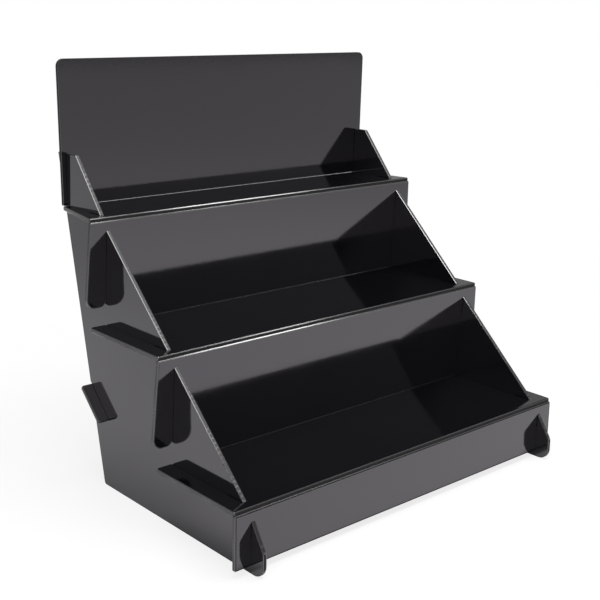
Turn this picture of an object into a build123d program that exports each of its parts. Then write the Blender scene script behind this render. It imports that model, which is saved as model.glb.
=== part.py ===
"""Three-tier counter display stand, slotted together from ten flat sheets of fluted board.

X runs across the stand, Y from the front to the back and Z upwards. The origin is on the
floor, under the middle of the whole stand.
"""

import math
import os

from build123d import *

os.makedirs("parts", exist_ok=True)

# Sheet and fit
sheet = 4.0
clear = 0.2
corner_radius = 1.0

# Tiers
panel_span = 382.0
ear = 16.0
low_shelf_top = 58.0
tier_rise = 102.0
tier_depth = 105.0
top_depth = 70.0
shelf_setback = 2.0
tail_radius = 2.5
under_shelf = 0.05
over_shelf = 0.16

# Side panels
cheek_rise = 50.0
cheek_flat = 17.0
cheek_radius = 2.0
nose = 15.0
nose_high = 22.0
nose_radius = 11.0
nose_shoulder = 8.0
foot_depth = 222.0
foot_radius = 3.0
prong = 10.0

# Upright sheets
riser_slope = 3.0
ear_flare = 0.05
ear_lift = 18.0
ear_radius = 9.0
mouth_radius = 6.0
fascia_lift = 7.0
header_high = 138.0
header_ear = 3.5
header_flare = 0.02
header_radius = 7.0

# Joints
foot_back = 11.5
face_drop = 13.0
shelf_grip = 18.0
riser_grip = 18.0
fascia_grip = 12.0
header_grip = 27.0

# Brace
brace_width = 39.0
brace_strip = 19.0
brace_ear = 10.0
brace_slope = 43.0
brace_height = 93.5
brace_radius = 1.2

# Positions that follow
outer = panel_span / 2
inner = outer - sheet
half = outer + ear
tops = [low_shelf_top + i * tier_rise for i in range(3)]
cheek_top = tops[2] + cheek_rise
depth = nose + 2 * tier_depth + top_depth + sheet + prong
front = nose - depth / 2
lean = (depth - nose - foot_depth) / cheek_top
faces = [front + i * tier_depth for i in range(3)]
header_y = faces[2] + top_depth
header_low = tops[2] + over_shelf
header_top = tops[2] + header_high
header_seat = cheek_top - header_grip
grips = [fascia_grip, riser_grip, riser_grip]
seats = [tops[i] - face_drop - grips[i] for i in range(3)]
slants = [0.0, math.radians(riser_slope), math.radians(riser_slope)]
heads = [z - sheet - under_shelf - sheet * math.sin(s) for z, s in zip(tops, slants)]
run = math.cos(math.radians(brace_slope))
rise = math.sin(math.radians(brace_slope))


def rear_at(z):
    """Place of the slanted rear edge of a side panel at one height."""
    return front + foot_depth + z * lean


def face_at(i, z, behind=0.0):
    """Place at one height of a line behind the front face of a tier's upright sheet."""
    return faces[i] + (tops[i] - z) * math.tan(slants[i]) + behind / math.cos(slants[i])


def down_face(i, way, behind):
    """Point that far down the front face of a tier's upright sheet and that far behind it."""
    y = face_at(i, heads[i]) + way * math.sin(slants[i]) + behind * math.cos(slants[i])
    z = heads[i] - way * math.cos(slants[i]) + behind * math.sin(slants[i])
    return (y, z, 0)


def rounded(corners, place):
    """Face bounded by a closed outline whose corners are (u, v, radius)."""
    ends = []
    count = len(corners)
    for i, (u, v, radius) in enumerate(corners):
        here = Vector(u, v)
        if radius == 0:
            ends.append((here, None, here))
            continue
        into = (Vector(*corners[i - 1][:2]) - here).normalized()
        out = (Vector(*corners[(i + 1) % count][:2]) - here).normalized()
        turn = math.acos(into.dot(out))
        reach = radius / math.tan(turn / 2)
        crown = here + (into + out).normalized() * (radius / math.sin(turn / 2) - radius)
        ends.append((here + into * reach, crown, here + out * reach))
    edges = []
    for i, (start, crown, stop) in enumerate(ends):
        if crown is not None:
            edges.append(ThreePointArc(place(start), place(crown), place(stop)))
        edges.append(Line(place(stop), place(ends[(i + 1) % count][0])))
    return Face(Wire(edges))


def tier_edge(i):
    """Front edge of a side panel at one tier: slot of the riser, then slot of its shelf."""
    y, z = faces[i], tops[i]
    deep = heads[i] - seats[i]
    return [
        (face_at(i, z - face_drop, -clear), z - face_drop, 0),
        down_face(i, deep, -clear),
        down_face(i, deep, sheet + clear),
        (face_at(i, z - sheet, sheet + clear), z - sheet, 0),
        (y + foot_back + shelf_grip, z - sheet, 0),
        (y + foot_back + shelf_grip, z + clear, 0),
        (y + foot_back, z + clear, 0),
    ]


def header_edge():
    """Top of a side panel, with the slot of the header."""
    return [
        (header_y - cheek_flat, cheek_top, cheek_radius),
        (header_y - clear, cheek_top, 0),
        (header_y - clear, header_seat, 0),
        (header_y + sheet + clear, header_seat, 0),
        (header_y + sheet + clear, cheek_top, 0),
        (rear_at(cheek_top), cheek_top, 0),
    ]


def brace_edge():
    """Slanted slot of the brace, open at the rear edge of a side panel."""
    deep_y = rear_at(brace_height) - brace_strip * run
    deep_z = brace_height - brace_strip * rise
    corners = []
    for side in (1, -1):
        y = deep_y - side * (sheet / 2 + clear) * rise
        z = deep_z + side * (sheet / 2 + clear) * run
        way = (rear_at(z) - y) / (run - lean * rise)
        mouth = (y + way * run, z + way * rise, 0)
        corners += [mouth, (y, z, 0)] if side == 1 else [(y, z, 0), mouth]
    return corners


def side_panel(x):
    """Upright sheet with the stepped front edge; every other sheet hangs in its slots."""
    outline = [
        (rear_at(0), 0, foot_radius),
        (front - nose, 0, nose_radius),
        (front - nose, nose_high, nose_shoulder),
    ]
    for i in range(3):
        outline += tier_edge(i)
    outline += header_edge() + brace_edge()
    face = rounded(outline, lambda p: Vector(x, p.X, p.Y))
    return extrude(face, amount=sheet, dir=(1, 0, 0))


def cross_sheet(near, far, strip, body, long, radii):
    """Outline of a sheet that lies across both panels.

    The strip at v = 0 is whole. Beyond it two slots leave a body between the panels and an
    ear outside each of them. The half-width goes from near at the strip to far at the end
    of the ears, and the radii are those of the strip, of the ears and of the slots' mouths.
    """
    right = [
        (near, 0, radii[0]),
        (far, long, radii[1]),
        (outer + clear, long, radii[2]),
        (outer + clear, strip, 0),
        (inner - clear, strip, 0),
        (inner - clear, body, corner_radius),
    ]
    left = [(-u, v, r) for u, v, r in reversed(right)]
    return right + left


def shelf(i):
    """Level sheet, pushed in from the front until its slots meet the ends of the panels'."""
    start = faces[i] + shelf_setback
    long = (header_y if i == 2 else face_at(i + 1, tops[i])) - start
    strip = faces[i] + foot_back + shelf_grip - start
    far = outer + header_ear if i == 2 else half
    tail = min(tail_radius, 0.3 * (far - outer))
    outline = cross_sheet(half, far, strip, long, long, (corner_radius, tail, tail))
    z = tops[i] - sheet
    face = rounded(outline, lambda p: Vector(p.X, start + p.Y, z))
    return extrude(face, amount=sheet, dir=(0, 0, 1))


def upright(y, top, strip, body, long, near, far, radii, slant=0.0):
    """Upright sheet, dropped in from above along its own slant."""
    across, along = math.sin(slant), math.cos(slant)
    outline = cross_sheet(near, far, strip, body, long, radii)
    face = rounded(outline, lambda p: Vector(p.X, y + p.Y * across, top - p.Y * along))
    return extrude(face, amount=sheet, dir=(0, along, across))


def fascia_sheet():
    """Low front sheet that hangs clear of the floor."""
    top = heads[0]
    long = top - fascia_lift
    return upright(faces[0], top, top - seats[0], long, long, half, half, (corner_radius,) * 3)


def riser(i):
    """Sheet under the front of a shelf; it leans, with its foot at the back of the shelf before it."""
    top = heads[i]
    body = (top - tops[i - 1] - over_shelf) / math.cos(slants[i])
    long = (top - tops[i - 1] - ear_lift) / math.cos(slants[i])
    far = half + ear_flare * long
    radii = (corner_radius, ear_radius, mouth_radius)
    y = face_at(i, top)
    return upright(y, top, top - seats[i], body, long, half, far, radii, slants[i])


def header_sheet():
    """Tall rear sheet with rounded upper corners, a little wider at its top."""
    long = header_top - header_low
    far = outer + header_ear
    near = far + header_flare * long
    radii = (header_radius, corner_radius, corner_radius)
    return upright(header_y, header_top, header_top - header_seat, long, long, near, far, radii)


def brace_sheet():
    """Slanted strip that ties the rear edges of both panels, pushed in from behind."""
    reach = outer + brace_ear
    radii = (brace_radius, brace_radius, corner_radius)
    outline = cross_sheet(reach, reach, brace_strip, brace_width, brace_width, radii)
    y = rear_at(brace_height) + rise * sheet / 2
    z = brace_height - run * sheet / 2
    face = rounded(outline, lambda p: Vector(p.X, y - p.Y * run, z - p.Y * rise))
    return extrude(face, amount=sheet, dir=(0, -rise, run))


pieces = {
    "left_side_panel": side_panel(-outer),
    "right_side_panel": side_panel(inner),
    "front_fascia": fascia_sheet(),
    "lower_riser": riser(1),
    "upper_riser": riser(2),
    "header_panel": header_sheet(),
    "bottom_shelf": shelf(0),
    "middle_shelf": shelf(1),
    "top_shelf": shelf(2),
    "rear_brace": brace_sheet(),
}
for name, piece in pieces.items():
    piece.label = name
    export_step(piece, f"parts/{name}.step")
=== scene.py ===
import math

import bpy
import numpy as np
from mathutils import Matrix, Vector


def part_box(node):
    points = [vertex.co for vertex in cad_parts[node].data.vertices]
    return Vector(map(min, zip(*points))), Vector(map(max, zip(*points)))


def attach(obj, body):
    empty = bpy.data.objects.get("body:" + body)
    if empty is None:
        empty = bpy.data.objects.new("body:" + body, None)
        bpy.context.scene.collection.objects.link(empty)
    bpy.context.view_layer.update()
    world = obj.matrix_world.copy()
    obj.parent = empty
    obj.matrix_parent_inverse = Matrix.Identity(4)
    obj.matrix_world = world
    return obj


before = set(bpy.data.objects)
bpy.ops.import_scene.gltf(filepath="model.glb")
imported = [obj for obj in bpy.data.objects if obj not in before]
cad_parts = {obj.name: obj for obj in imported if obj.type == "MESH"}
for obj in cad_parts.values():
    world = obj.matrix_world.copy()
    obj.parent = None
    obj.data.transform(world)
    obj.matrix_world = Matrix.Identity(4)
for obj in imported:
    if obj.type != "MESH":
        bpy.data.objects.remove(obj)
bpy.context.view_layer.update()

bl_info = {
    "name": "Tiered Board Display Stand",
    "version": (1, 0, 0),
    "blender": (4, 5, 0),
    "location": "View3D > Sidebar > Stand",
    "description": "Dresses a slotted three-tier counter stand in glossy black board",
    "category": "Object",
}

PANELS = ("left_side_panel", "right_side_panel")
SHELVES = ("bottom_shelf", "middle_shelf", "top_shelf")
UPRIGHTS = ("front_fascia", "lower_riser", "upper_riser", "header_panel", "rear_brace")

# Axis across the flutes of each sheet: 1 is Y and 2 is Z
FLUTES_ACROSS = {**dict.fromkeys(PANELS + SHELVES, 1), **dict.fromkeys(UPRIGHTS, 2)}

# Sheets whose whole edge is plain: nearly flat, with a dull core all round
PLAIN_EDGES = ("header_panel",)

# Decimals of a metre to which points of a sheet are merged, and the least doubled area of a triangle
MERGE_DECIMALS = 7
LEAST_AREA = 1e-14

# Cosines of the turns up to which triangles are one face and stretches of an outline are shaded as one
SAME_FACE = 0.999
SMOOTH_TURN = 0.85

# Longest outward direction at a corner of an outline
CORNER_REACH = 1.6

# Rise of a rim's profile from one face of the sheet to the other, in shares of how far it stands proud
PROFILE_RISE = np.array([-1.0, 0.0, 1.0, 1.0, 0.0, -1.0])

# Strip of the profile that is the core, and the material slots of a rim
CORE_STRIP = 2
SHOULDER, CLOSED_CORE, OPEN_CORE = range(3)

# Room about a side panel in which the edges of the other sheets are nearly flat, and the rise left there
SLOT_ROOM = 0.0004
FLAT_SHARE = 0.02

# Share of an edge's length across the flutes from which it cuts them open
CUT_SHARE = 0.3

# Range in which nearly all values of a noise lie
NOISE_RANGE = (0.3, 0.7)

# Scales of the noises, in waves to a metre
HAZE_SCALE, TORN_SCALE, PEEL_SCALE, GRAIN_SCALE = 14.0, 32.0, 260.0, 900.0

# Shares between which the haze changes the film's tone and roughness, and the grain those of the paper
FILM_TONES = (0.85, 1.15)
FILM_GLOSS = (0.75, 1.3)
PAPER_TONES = (0.7, 1.3)

# Ranges over which a flute's frayed wave turns into a spot, and a patch of torn flutes comes in
SPOT_RANGE = (0.6, 1.1)
TORN_RANGE = (0.4, 0.6)

# Depths of the relief of the film and of the paper in the cut edges, in metres
FILM_RELIEF, PAPER_RELIEF = 0.0002, 0.0001

# Half the width of the floor in metres, and its cells each way
FLOOR_REACH = 6.0
FLOOR_CELLS = 12

# Distances from the stand over which its shadow fades and the floor turns white in reflections
SHADOW_FADE = (0.25, 0.75)
WHITE_FADE = (1.0, 1.8)

# Place and aim of each lamp, and the width of its square face
LAMPS = {
    "top_lamp": ((-0.05, -0.25, 1.5), (-0.05, -0.2, 0.0), 1.1),
    "side_lamp": ((-1.5, -1.1, 1.2), (0.0, 0.0, 0.15), 1.1),
    "left_lamp": ((-0.95, -0.35, 1.4), (-0.1, 0.0, 0.15), 0.9),
    "edge_lamp": ((0.79, -0.42, 1.3), (0.0, 0.0, 0.25), 0.35),
}

SENSOR_WIDTH = 36.0
CLIP_START = 0.01
WHITE = (1.0, 1.0, 1.0, 1.0)


def colour_setting(name, description, default):
    """Colour that a user may change."""
    return bpy.props.FloatVectorProperty(
        name=name, description=description, default=default, size=3, subtype="COLOR", min=0.0, max=1.0,
    )


def share_setting(name, description, default, most=1.0):
    """Share from none to the most."""
    return bpy.props.FloatProperty(
        name=name, description=description, default=default, min=0.0, max=most, subtype="FACTOR",
    )


def index_setting(name, description, default):
    """Refractive index."""
    return bpy.props.FloatProperty(name=name, description=description, default=default, min=1.0, max=3.0)


def length_setting(name, description, default, least=0.0, most=0.002):
    """Small length on the board, in metres."""
    return bpy.props.FloatProperty(
        name=name, description=description, default=default,
        min=least, max=most, unit="LENGTH", precision=5,
    )


def angle_setting(name, description, degrees):
    """Angle, given in degrees and kept in radians."""
    return bpy.props.FloatProperty(
        name=name, description=description, default=math.radians(degrees), subtype="ANGLE",
    )


def power_setting(name, description, default):
    """Power of a lamp, in watts."""
    return bpy.props.FloatProperty(
        name=name, description=description, default=default, min=0.0, max=2000.0, unit="POWER",
    )


class BoardSettings(bpy.types.PropertyGroup):
    """Finish of the board and of its cut edges."""

    film_black: colour_setting("Film black", "Colour under the glossy film", (0.0022, 0.0021, 0.0026))
    film_tint: colour_setting("Film tint", "Faint tint of what the film reflects", (0.97, 0.92, 1.0))
    film_ior: index_setting("Film index", "Refractive index of the glossy film", 1.79)
    film_roughness: share_setting("Film roughness", "Mean roughness of the glossy film", 0.075)
    edge_black: colour_setting("Edge black", "Colour of the pressed shoulders", (0.03, 0.029, 0.031))
    edge_roughness: share_setting("Edge roughness", "Mean roughness of the pressed shoulders", 0.17)
    core_black: colour_setting("Core black", "Colour between the shoulders", (0.012, 0.0116, 0.0124))
    mouth_grey: colour_setting("Flute mouths", "Colour of the paper at a flute's end", (0.09, 0.088, 0.092))
    core_share: share_setting("Core share", "Share of a cut edge that its core takes up", 0.6, most=0.9)
    closed_ior: index_setting("Closed core index", "Refractive index of a core along the flutes", 1.3)
    closed_roughness: share_setting("Closed core roughness", "Roughness of a core along the flutes", 0.65)
    open_ior: index_setting("Open core index", "Refractive index of a core that cuts the flutes", 1.5)
    open_roughness: share_setting("Open core roughness", "Roughness of a core that cuts the flutes", 0.3)
    panel_roughness: share_setting("Panel core roughness", "The same on the side panels", 0.45)
    panel_proud: length_setting("Panel edge proud", "How far a side panel's rim stands out", 0.0003)
    sheet_proud: length_setting("Sheet edge proud", "How far another sheet's rim stands out", 0.00072)
    flute_pitch: length_setting("Flute pitch", "Length of one wave of the core", 0.0033, 0.001, 0.02)
    flute_trace: share_setting("Flute trace", "How much of the flutes shows in the film's relief", 0.03)


class StageSettings(bpy.types.PropertyGroup):
    """Camera, floor and lamps of the studio."""

    camera_place: bpy.props.FloatVectorProperty(
        name="Camera place", description="Where the camera stands",
        default=(-0.71062, -0.77521, 0.45454), size=3, subtype="TRANSLATION", unit="LENGTH",
    )
    camera_yaw: angle_setting("Camera yaw", "Turn of the view from straight ahead to the right", 41.705)
    camera_pitch: angle_setting("Camera pitch", "Fall of the view below the horizon", 12.112)
    camera_roll: angle_setting("Camera roll", "Turn of the picture about the view", -1.041)
    camera_lens: bpy.props.FloatProperty(
        name="Lens", description="Focal length in millimetres", default=66.23, min=10.0, max=300.0,
    )
    camera_shift: bpy.props.FloatProperty(
        name="Lens shift", description="Upward shift of the lens as a share of the frame",
        default=-0.1009, min=-0.5, max=0.5,
    )
    floor_white: colour_setting("Floor white", "Colour of the floor", (0.86, 0.86, 0.86))
    plain_white: share_setting("Plain floor", "Share of plain white in the floor beside the stand", 0.8)
    gloss_white: share_setting("White in the gloss", "Share of the plain white that reflections show", 0.1)
    far_white: share_setting("White of the far floor", "The same for the floor far from the stand", 0.5)
    ambient: bpy.props.FloatProperty(
        name="Ambient", description="Strength of the even light all round", default=0.3, min=0.0, max=5.0,
    )
    top_power: power_setting("Top lamp", "Power of the wide lamp overhead", 20.0)
    side_power: power_setting("Side lamp", "Power of the soft lamp at the front left", 6.0)
    left_power: power_setting("Left lamp", "Power of the soft lamp above the left side", 5.0)
    edge_power: power_setting("Edge lamp", "Power of the small lamp at the right that draws the edges", 5.4)


def node_arrays(node):
    """Merged points of a CAD node, its triangles and their unit normals and areas.

    Points that agree to a tenth of a micrometre become one, so that neighbouring triangles share edges.
    """
    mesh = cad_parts[node].data
    mesh.calc_loop_triangles()
    co = np.empty(len(mesh.vertices) * 3)
    mesh.vertices.foreach_get("co", co)
    tri = np.empty(len(mesh.loop_triangles) * 3, np.int64)
    mesh.loop_triangles.foreach_get("vertices", tri)
    points, index = np.unique(np.round(co.reshape(-1, 3), MERGE_DECIMALS), axis=0, return_inverse=True)
    tri = index.reshape(-1)[tri].reshape(-1, 3)
    cross = np.cross(points[tri[:, 1]] - points[tri[:, 0]], points[tri[:, 2]] - points[tri[:, 0]])
    area = np.linalg.norm(cross, axis=1)
    keep = area > LEAST_AREA
    return points, tri[keep], cross[keep] / area[keep, None], area[keep] / 2


def sheet_outline(node):
    """Outline of a flat sheet as directed segments on one of its two large faces.

    The large face is every triangle whose normal lies along the normal with most area. A side of a triangle
    that no neighbour in that face shares is on the outline. At each corner the outward direction is the sum
    of the two neighbouring side normals over one plus their dot product, which keeps an even offset. The
    thickness is the spread of all points along the face's normal.
    """
    points, tri, normal, area = node_arrays(node)
    face_normal = normal[np.argmax(area)]
    face_normal = face_normal * np.sign(face_normal[np.argmax(np.abs(face_normal))])
    tri = tri[normal @ face_normal > SAME_FACE]
    sides = np.concatenate([tri[:, [0, 1]], tri[:, [1, 2]], tri[:, [2, 0]]])
    code = np.sort(sides, axis=1) @ np.array([len(points), 1])
    _, index, count = np.unique(code, return_inverse=True, return_counts=True)
    sides = sides[count[index] == 1]
    start, end = sides[:, 0], sides[:, 1]
    along = points[end] - points[start]
    length = np.linalg.norm(along, axis=1)
    out = np.cross(along / length[:, None], face_normal)
    order = np.argsort(start)
    after = order[np.searchsorted(start[order], end)]
    before = np.empty(len(start), np.int64)
    before[after] = np.arange(len(start))
    corner = (out + out[after]) / (1 + np.sum(out * out[after], axis=1))[:, None]
    far = np.linalg.norm(corner, axis=1)
    corner = corner / np.maximum(far / CORNER_REACH, 1)[:, None]
    return {
        "normal": face_normal,
        "thickness": np.ptp(points @ face_normal),
        "start": points[start],
        "along": along,
        "length": length,
        "out": corner[before],
        "after": after,
        "sharp": np.sum(out * out[before], axis=1) < SMOOTH_TURN,
    }


def rim_heights(node, outline, settings):
    """Height of each point of the profile at each corner of a sheet's outline.

    A height is the profile's rise times how far the rim stands proud. It is next to nothing on a plain
    edge, and where another sheet's slot holds a side panel.
    """
    is_panel = node in PANELS
    proud = settings.panel_proud if is_panel else settings.sheet_proud
    low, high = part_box("right_side_panel")
    aside = np.abs(outline["start"][:, 0])
    beside = (aside > low[0] - SLOT_ROOM) & (aside < high[0] + SLOT_ROOM)
    flat = (beside & (not is_panel)) | (node in PLAIN_EDGES)
    return proud * np.where(flat, FLAT_SHARE, 1.0)[:, None] * PROFILE_RISE


def rim_depths(outline, core_share):
    """Depth of each point of the profile below the large face.

    With s from -1 at one face to 1 at the other, a depth is the thickness times (1 + s) / 2. The first two
    points are at one face, the last two at the other, and the middle two bound the core.
    """
    place = np.array([-1.0, -1.0, -core_share, core_share, 1.0, 1.0])
    return outline["thickness"] * (1 + place) / 2


def carry_profile(outline, height, depth):
    """Points of a closed profile carried round an outline, and its faces.

    At each corner a profile point has height h along the outward direction and depth d below the large
    face: p = start + h out - d normal. Each corner has a row of heights.
    """
    rise = height[:, :, None] * outline["out"][:, None, :]
    points = outline["start"][:, None, :] + rise - depth[None, :, None] * outline["normal"]
    ring = len(depth)
    j = np.arange(ring)
    k = (j + 1) % ring
    here = np.arange(len(points))[:, None] * ring
    ahead = outline["after"][:, None] * ring
    faces = np.stack([here + j, here + k, ahead + k, ahead + j], axis=2)
    return points.reshape(-1, 3), faces.reshape(-1, 4)


def rim_slots(node, outline):
    """Material slot of each strip of a rim: the core is open where the edge cuts the flutes."""
    cuts = np.abs(outline["along"][:, FLUTES_ACROSS[node]]) > CUT_SHARE * outline["length"]
    slots = np.full((len(cuts), len(PROFILE_RISE)), SHOULDER, np.int32)
    slots[:, CORE_STRIP] = np.where(cuts & (node not in PLAIN_EDGES), OPEN_CORE, CLOSED_CORE)
    return slots.ravel()


def crease_rim(mesh, outline):
    """Crease a rim along the bends of its profile and across it at the outline's sharp corners.

    A point's number is its corner times the points in the profile, plus its place in the profile. So an
    edge whose ends have the same place runs along the rim.
    """
    ends = np.empty(len(mesh.edges) * 2, np.int32)
    mesh.edges.foreach_get("vertices", ends)
    corner, place = np.divmod(ends.reshape(-1, 2), len(PROFILE_RISE))
    sharp = (place[:, 0] == place[:, 1]) | outline["sharp"][corner[:, 0]]
    mesh.attributes.new("sharp_edge", "BOOLEAN", "EDGE").data.foreach_set("value", sharp)


def add_piece(name, points, faces, materials):
    """One smooth mesh object that rides on the stand's body and stays above the floor."""
    points[:, 2] = np.maximum(points[:, 2], 0.0)
    mesh = bpy.data.meshes.new(name)
    mesh.vertices.add(len(points))
    mesh.vertices.foreach_set("co", points.ravel())
    mesh.loops.add(faces.size)
    mesh.loops.foreach_set("vertex_index", faces.ravel().astype(np.int32))
    mesh.polygons.add(len(faces))
    mesh.polygons.foreach_set("loop_start", np.arange(0, faces.size, 4, dtype=np.int32))
    mesh.polygons.foreach_set("use_smooth", np.ones(len(faces), bool))
    mesh.update(calc_edges=True)
    for material in materials:
        mesh.materials.append(material)
    piece = bpy.data.objects.new(name, mesh)
    bpy.context.scene.collection.objects.link(piece)
    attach(piece, "root")
    return piece


class Nodes:
    """Short way to wire the nodes of a material or a world."""

    def __init__(self, tree):
        self.tree = tree
        tree.nodes.clear()

    def add(self, kind, inputs=None, **values):
        """New node with its values and inputs set, where an input that is a socket is linked."""
        node = self.tree.nodes.new(kind)
        for key, value in values.items():
            setattr(node, key, value)
        for key, value in (inputs or {}).items():
            if isinstance(value, bpy.types.NodeSocket):
                self.tree.links.new(value, node.inputs[key])
            else:
                node.inputs[key].default_value = value
        return node

    def place(self):
        """Place on the piece, in metres."""
        return self.add("ShaderNodeTexCoord").outputs["Object"]

    def math(self, operation, *inputs):
        """Result of one step of arithmetic."""
        return self.add("ShaderNodeMath", dict(enumerate(inputs)), operation=operation).outputs[0]

    def noise(self, place, scale, detail, roughness=0.5):
        """Noise with that many waves to a metre."""
        inputs = {"Vector": place, "Scale": scale, "Detail": detail, "Roughness": roughness}
        return self.add("ShaderNodeTexNoise", inputs).outputs["Fac"]

    def ramp(self, value, start, stop, low=0.0, high=1.0, **values):
        """Value that goes from low at start to high at stop, and no further."""
        inputs = {"Value": value, "From Min": start, "From Max": stop, "To Min": low, "To Max": high}
        return self.add("ShaderNodeMapRange", inputs, **values).outputs[0]

    def spread(self, noise, shares, mean=1.0):
        """Noise spread between two shares of a mean value."""
        return self.ramp(noise, *NOISE_RANGE, mean * shares[0], mean * shares[1])

    def scaled(self, colour, tone):
        """Colour times a tone."""
        return self.add("ShaderNodeVectorMath", {0: tuple(colour), 3: tone}, operation="SCALE").outputs[0]

    def flutes(self, place, across, pitch):
        """Sine of the place across the flutes, with one wave to a pitch."""
        axis = self.add("ShaderNodeSeparateXYZ", {0: place}).outputs[across]
        return self.math("SINE", self.math("MULTIPLY", axis, math.tau / pitch))

    def surface(self, inputs, height, strength, depth):
        """Shader with a relief, wired to the material's output."""
        bump = self.add("ShaderNodeBump", {"Strength": strength, "Distance": depth, "Height": height})
        shader = self.add("ShaderNodeBsdfPrincipled", {**inputs, "Normal": bump.outputs["Normal"]})
        self.add("ShaderNodeOutputMaterial", {"Surface": shader.outputs[0]})


def new_material(name):
    """Empty material and the wiring of its nodes."""
    material = bpy.data.materials.new(name)
    material.use_nodes = True
    return material, Nodes(material.node_tree)


def film_board(name, across, settings):
    """Black board under a glossy film.

    The relief is a fine orange peel plus a trace of the flutes, and hazy patches change the gloss and tone.
    """
    material, n = new_material(name)
    place = n.place()
    haze = n.noise(place, HAZE_SCALE, detail=5.0, roughness=0.6)
    peel = n.noise(place, PEEL_SCALE, detail=2.0)
    trace = n.math("MULTIPLY", n.flutes(place, across, settings.flute_pitch), settings.flute_trace)
    n.surface({
        "Base Color": n.scaled(settings.film_black, n.spread(haze, FILM_TONES)),
        "Roughness": n.spread(haze, FILM_GLOSS, settings.film_roughness),
        "IOR": settings.film_ior,
        "Specular Tint": (*settings.film_tint, 1.0),
    }, n.math("ADD", peel, trace), strength=0.05, depth=FILM_RELIEF)
    return material


def pressed_edge(name, settings):
    """Glossy chamfered shoulders of a cut edge, where the film is pressed over the liners."""
    material, n = new_material(name)
    grain = n.noise(n.place(), GRAIN_SCALE, detail=3.0)
    n.surface({
        "Base Color": n.scaled(settings.edge_black, n.spread(grain, PAPER_TONES)),
        "Roughness": n.spread(grain, PAPER_TONES, settings.edge_roughness),
        "IOR": settings.film_ior,
    }, grain, strength=0.12, depth=PAPER_RELIEF)
    return material


def closed_core(name, settings):
    """Dull dark core of an edge that runs along the flutes, with a fine paper grain."""
    material, n = new_material(name)
    grain = n.noise(n.place(), GRAIN_SCALE, detail=3.0)
    n.surface({
        "Base Color": n.scaled(settings.core_black, n.spread(grain, PAPER_TONES)),
        "Roughness": settings.closed_roughness,
        "IOR": settings.closed_ior,
    }, grain, strength=0.2, depth=PAPER_RELIEF)
    return material


def open_core(name, across, roughness, settings):
    """Core of an edge that cuts across the flutes, with a paler spot at each flute.

    A spot is where the sine of the place across the flutes is high, and two noises leave some flutes shut
    and fray the others.
    """
    material, n = new_material(name)
    place = n.place()
    grain = n.noise(place, GRAIN_SCALE, detail=3.0)
    frayed = n.math("ADD", n.flutes(place, across, settings.flute_pitch), grain)
    row = n.ramp(frayed, *SPOT_RANGE)
    torn = n.ramp(n.noise(place, TORN_SCALE, detail=2.0), *TORN_RANGE)
    colour = n.add("ShaderNodeMix", {
        0: n.math("MULTIPLY", row, torn), 6: (*settings.core_black, 1.0), 7: (*settings.mouth_grey, 1.0),
    }, data_type="RGBA").outputs[2]
    inputs = {"Base Color": colour, "Roughness": roughness, "IOR": settings.open_ior}
    n.surface(inputs, grain, strength=0.2, depth=PAPER_RELIEF)
    return material


class STAND_OT_faces(bpy.types.Operator):
    """Give every sheet its glossy black film"""

    bl_idname = "stand.faces"
    bl_label = "Film on the Sheets"

    def execute(self, context):
        settings = context.scene.stand_board
        films = {across: film_board(f"film_board_{across}", across, settings) for across in (1, 2)}
        for node, across in FLUTES_ACROSS.items():
            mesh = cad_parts[node].data
            mesh.materials.clear()
            mesh.materials.append(films[across])
        return {"FINISHED"}


class STAND_OT_edges(bpy.types.Operator):
    """Carry a pressed, chamfered rim round the outline of every sheet"""

    bl_idname = "stand.edges"
    bl_label = "Pressed Cut Edges"

    def execute(self, context):
        settings = context.scene.stand_board
        shoulder = pressed_edge("pressed_edge", settings)
        closed = closed_core("closed_core", settings)
        cores = {
            across: open_core(f"open_core_{across}", across, settings.open_roughness, settings)
            for across in (1, 2)
        }
        panel_core = open_core("panel_core", 1, settings.panel_roughness, settings)
        for node, across in FLUTES_ACROSS.items():
            outline = sheet_outline(node)
            heights = rim_heights(node, outline, settings)
            points, faces = carry_profile(outline, heights, rim_depths(outline, settings.core_share))
            core = panel_core if node in PANELS else cores[across]
            piece = add_piece(f"{node}_edge", points, faces, [shoulder, closed, core])
            piece.data.polygons.foreach_set("material_index", rim_slots(node, outline))
            crease_rim(piece.data, outline)
        return {"FINISHED"}


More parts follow.
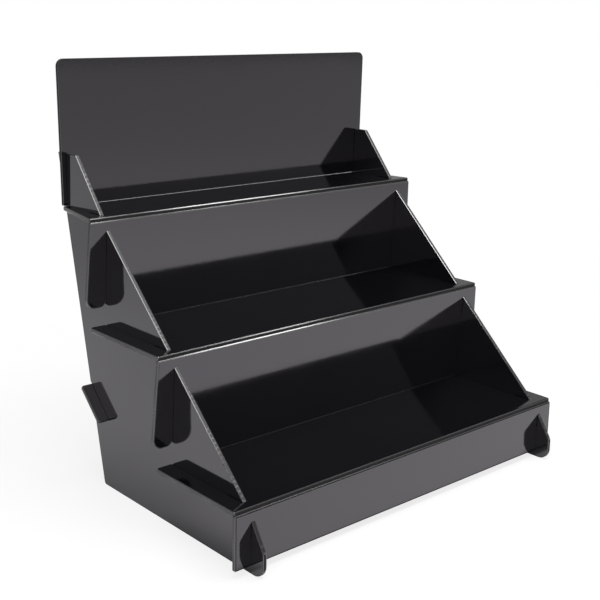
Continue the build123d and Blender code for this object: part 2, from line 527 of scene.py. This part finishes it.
class STAND_OT_stage(bpy.types.Operator):
    """Set up the white floor, the soft lamps and the camera"""

    bl_idname = "stand.stage"
    bl_label = "Studio"

    def execute(self, context):
        settings = context.scene.stand_stage
        self.floor(context.scene, settings)
        self.world(context.scene, settings)
        powers = {
            "top_lamp": settings.top_power,
            "side_lamp": settings.side_power,
            "left_lamp": settings.left_power,
            "edge_lamp": settings.edge_power,
        }
        for name, power in powers.items():
            self.lamp(context.scene, name, *LAMPS[name], power)
        self.camera(context.scene, settings)
        context.scene.view_settings.view_transform = "Standard"
        return {"FINISHED"}

    def floor(self, scene, settings):
        """Wide level floor: a square grid of x and y at height zero."""
        line = np.linspace(-FLOOR_REACH, FLOOR_REACH, FLOOR_CELLS + 1)
        x, y = np.meshgrid(line, line)
        points = np.stack([x, y, np.zeros_like(x)], axis=2).reshape(-1, 3)
        row = FLOOR_CELLS + 1
        i = np.arange(FLOOR_CELLS)[:, None] * row + np.arange(FLOOR_CELLS)
        faces = np.stack([i, i + 1, i + row + 1, i + row], axis=2).reshape(-1, 4)
        mesh = bpy.data.meshes.new("floor")
        mesh.from_pydata(points.tolist(), [], faces.tolist())
        mesh.materials.append(self.white_floor(settings))
        floor = bpy.data.objects.new("floor", mesh)
        scene.collection.objects.link(floor)

    def white_floor(self, settings):
        """Matt floor that looks plain white.

        Beside the stand the camera sees a part of the floor's own shade, which keeps the shadow, and
        reflections show more of the plain white the further off the floor is.
        """
        material, n = new_material("white_floor")
        ray = n.add("ShaderNodeLightPath").outputs
        far = n.add("ShaderNodeVectorMath", {0: n.place()}, operation="LENGTH").outputs["Value"]
        plain = n.ramp(far, *SHADOW_FADE, settings.plain_white, 1.0, interpolation_type="SMOOTHSTEP")
        lit = n.ramp(
            far, *WHITE_FADE, settings.gloss_white, settings.far_white, interpolation_type="SMOOTHSTEP",
        )
        clear = n.math("MAXIMUM", ray["Is Camera Ray"], ray["Is Transmission Ray"])
        seen = n.math("MULTIPLY", clear, plain)
        gloss = n.math("MULTIPLY", ray["Is Glossy Ray"], lit)
        matt = n.add("ShaderNodeBsdfDiffuse", {"Color": (*settings.floor_white, 1.0)})
        white = n.add("ShaderNodeEmission", {"Color": WHITE, "Strength": 1.0})
        mix = n.add("ShaderNodeMixShader", {
            0: n.math("MAXIMUM", seen, gloss), 1: matt.outputs[0], 2: white.outputs[0],
        })
        n.add("ShaderNodeOutputMaterial", {"Surface": mix.outputs[0]})
        return material

    def world(self, scene, settings):
        """Even light all round, which the camera sees as white and reflections as a little brighter."""
        world = bpy.data.worlds.new("studio")
        world.use_nodes = True
        scene.world = world
        n = Nodes(world.node_tree)
        ray = n.add("ShaderNodeLightPath").outputs
        clear = n.math("MAXIMUM", ray["Is Camera Ray"], ray["Is Transmission Ray"])
        gloss = n.math("MULTIPLY", ray["Is Glossy Ray"], settings.gloss_white)
        seen = n.math("MAXIMUM", clear, gloss)
        strength = n.add("ShaderNodeMix", {0: seen, 2: settings.ambient, 3: 1.0}, data_type="FLOAT")
        back = n.add("ShaderNodeBackground", {"Color": WHITE, "Strength": strength.outputs[0]})
        n.add("ShaderNodeOutputWorld", {"Surface": back.outputs[0]})

    def lamp(self, scene, name, place, aim, width, power):
        """Square area lamp at place whose light falls towards aim."""
        data = bpy.data.lights.new(name, "AREA")
        data.shape = "SQUARE"
        data.size = width
        data.energy = power
        away = np.array(place) - np.array(aim)
        away = away / np.linalg.norm(away)
        side = np.cross((0.0, 1.0, 0.0), away)
        side = side / np.linalg.norm(side)
        matrix = np.eye(4)
        matrix[:3] = np.column_stack([side, np.cross(away, side), away, place])
        lamp = bpy.data.objects.new(name, data)
        lamp.matrix_world = Matrix(matrix.tolist())
        scene.collection.objects.link(lamp)

    def camera(self, scene, settings):
        """Camera axes from yaw, pitch and roll.

        Forward falls by the pitch and right is level, then right and upward turn by the roll.
        """
        yaw, pitch, roll = settings.camera_yaw, settings.camera_pitch, settings.camera_roll
        forward = np.array([
            math.sin(yaw) * math.cos(pitch), math.cos(yaw) * math.cos(pitch), -math.sin(pitch),
        ])
        right = np.array([math.cos(yaw), -math.sin(yaw), 0.0])
        down = np.cross(forward, right)
        across = math.cos(roll) * right + math.sin(roll) * down
        upward = math.sin(roll) * right - math.cos(roll) * down
        matrix = np.eye(4)
        matrix[:3] = np.column_stack([across, upward, -forward, settings.camera_place])
        data = bpy.data.cameras.new("camera")
        data.sensor_width = SENSOR_WIDTH
        data.lens = settings.camera_lens
        data.shift_y = settings.camera_shift
        data.clip_start = CLIP_START
        camera = bpy.data.objects.new("camera", data)
        camera.matrix_world = Matrix(matrix.tolist())
        scene.collection.objects.link(camera)
        scene.camera = camera


class STAND_PT_panel(bpy.types.Panel):
    """Sidebar panel with the stand's settings and steps"""

    bl_idname = "STAND_PT_panel"
    bl_label = "Display Stand"
    bl_space_type = "VIEW_3D"
    bl_region_type = "UI"
    bl_category = "Stand"

    def draw(self, context):
        for name in BoardSettings.__annotations__:
            self.layout.prop(context.scene.stand_board, name)
        for name in StageSettings.__annotations__:
            self.layout.prop(context.scene.stand_stage, name)
        for operator in (STAND_OT_faces, STAND_OT_edges, STAND_OT_stage):
            self.layout.operator(operator.bl_idname)


CLASSES = (BoardSettings, StageSettings, STAND_OT_faces, STAND_OT_edges, STAND_OT_stage, STAND_PT_panel)


def register():
    for cls in CLASSES:
        bpy.utils.register_class(cls)
    bpy.types.Scene.stand_board = bpy.props.PointerProperty(type=BoardSettings)
    bpy.types.Scene.stand_stage = bpy.props.PointerProperty(type=StageSettings)


def unregister():
    del bpy.types.Scene.stand_stage
    del bpy.types.Scene.stand_board
    for cls in reversed(CLASSES):
        bpy.utils.unregister_class(cls)


def main():
    """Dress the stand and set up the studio."""
    register()
    bpy.ops.stand.faces()
    bpy.ops.stand.edges()
    bpy.ops.stand.stage()


if __name__ == "__main__":
    main()
